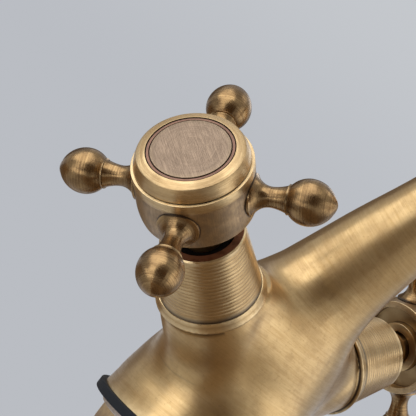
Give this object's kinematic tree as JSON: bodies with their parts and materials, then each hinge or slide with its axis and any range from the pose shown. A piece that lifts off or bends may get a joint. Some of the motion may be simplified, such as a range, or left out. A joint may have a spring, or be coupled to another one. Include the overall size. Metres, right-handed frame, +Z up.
{
  "type": "basin faucet",
  "caption": "Antique brushed brass basin faucet: cast body with a tapered arched spout, tilted valve necks with ribbed sleeves and cross handles, clamped in a tap hole by a shank and nut.",
  "frame": {"origin": "where the shank's axis meets the deck, at the underside of the rubber gasket's lip", "axes": "+Z up out of the deck, -Y towards the user along the spout, +X to the right-hand (cold) handle as the user sees it"},
  "size_m": [0.1557, 0.1564, 0.1884],
  "materials": {
    "antique_brass": "brushed, antique lacquer",
    "patina_brass": "brushed, darker patina",
    "raw_brass": "turned, unpolished",
    "steel": "plain",
    "black_rubber": "matt",
    "ceramic": "polished ceramic",
    "white_plastic": "moulded"
  },
  "bodies": {
    "faucet_body": {"body_casting": "antique_brass", "base_gasket": "black_rubber", "threaded_shank": "raw_brass", "aerator_housing": "antique_brass", "aerator_insert": "white_plastic", "aerator_screen": "steel", "aerator_seal": "black_rubber", "left_cartridge_housing": "raw_brass", "left_seat_seal": "black_rubber", "left_fixed_disc": "ceramic", "left_cartridge_o_ring": "black_rubber", "left_bonnet_sleeve": "antique_brass", "right_cartridge_housing": "raw_brass", "right_seat_seal": "black_rubber", "right_fixed_disc": "ceramic", "right_cartridge_o_ring": "black_rubber", "right_bonnet_sleeve": "antique_brass"},
    "left_handle": {"left_moving_disc": "ceramic", "left_spindle": "raw_brass", "left_thrust_washer": "white_plastic", "left_stem_o_ring": "black_rubber", "left_stem_clip": "steel", "left_handle_hub": "patina_brass", "left_handle_cap": "antique_brass", "left_index_disc": "patina_brass", "left_handle_screw": "steel", "left_arm_1": "antique_brass", "left_arm_2": "antique_brass", "left_arm_3": "antique_brass", "left_arm_4": "antique_brass"},
    "right_handle": {"right_moving_disc": "ceramic", "right_spindle": "raw_brass", "right_thrust_washer": "white_plastic", "right_stem_o_ring": "black_rubber", "right_stem_clip": "steel", "right_handle_hub": "patina_brass", "right_handle_cap": "antique_brass", "right_index_disc": "patina_brass", "right_handle_screw": "steel", "right_arm_1": "antique_brass", "right_arm_2": "antique_brass", "right_arm_3": "antique_brass", "right_arm_4": "antique_brass"},
    "back_nut": {"clamp_washer": "steel", "back_nut": "raw_brass"}
  },
  "joints": [
    {"name": "left_handle_turn", "type": "hinge", "parent": "faucet_body", "child": "left_handle", "pos_m": [0, 0, 0.0179], "axis": [-0.8625, 0, 0.506], "range_deg": [0, 90]},
    {"name": "right_handle_turn", "type": "hinge", "parent": "faucet_body", "child": "right_handle", "pos_m": [0, 0, 0.0179], "axis": [0.8625, 0, 0.506], "range_deg": [-90, 0]},
    {"name": "back_nut_travel", "type": "slide", "parent": "faucet_body", "child": "back_nut", "axis": [0, 0, -1], "range_m": [0, 0.032]}
  ]
}
